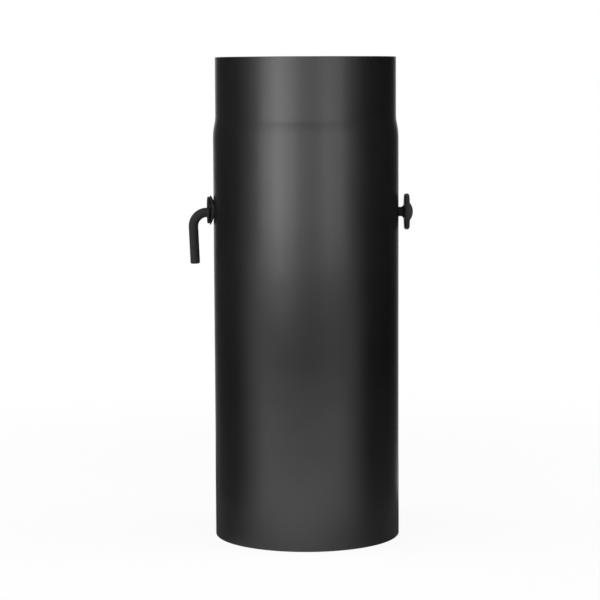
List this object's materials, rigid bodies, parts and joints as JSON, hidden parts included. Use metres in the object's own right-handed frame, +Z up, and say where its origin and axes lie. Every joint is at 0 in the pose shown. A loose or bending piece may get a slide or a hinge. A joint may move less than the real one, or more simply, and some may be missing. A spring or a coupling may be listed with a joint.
{
  "type": "stove pipe damper",
  "caption": "Length of black steel stove pipe with a socket below, a reduced spigot above, and a turning damper plate on a cross shaft with a bent handle.",
  "frame": {"origin": "on the pipe's axis, in the plane of the bottom rim, which is the mouth of the socket", "axes": "+Z up along the pipe to the spigot; X along the damper shaft with the handle at -X; -Y towards the picture's camera"},
  "size_m": [0.1871, 0.1544, 0.4],
  "materials": {
    "pipe_paint": "matte",
    "hardware_paint": "satin",
    "plate_steel": "matte",
    "zinc_steel": "satin"
  },
  "bodies": {
    "pipe": {"pipe_body": "pipe_paint", "handle_washer": "hardware_paint", "spring_washer": "hardware_paint"},
    "damper": {"damper_shaft": "hardware_paint", "end_disc": "hardware_paint", "inner_washer": "zinc_steel", "split_pin": "zinc_steel", "damper_plate": "plate_steel", "left_saddle": "plate_steel", "right_saddle": "plate_steel", "saddle_screws": "zinc_steel", "saddle_nuts": "zinc_steel"}
  },
  "joints": [
    {"name": "damper_turn", "type": "hinge", "parent": "pipe", "child": "damper", "pos_m": [0, 0, 0.2715], "axis": [-1, 0, 0], "continuous": true}
  ]
}
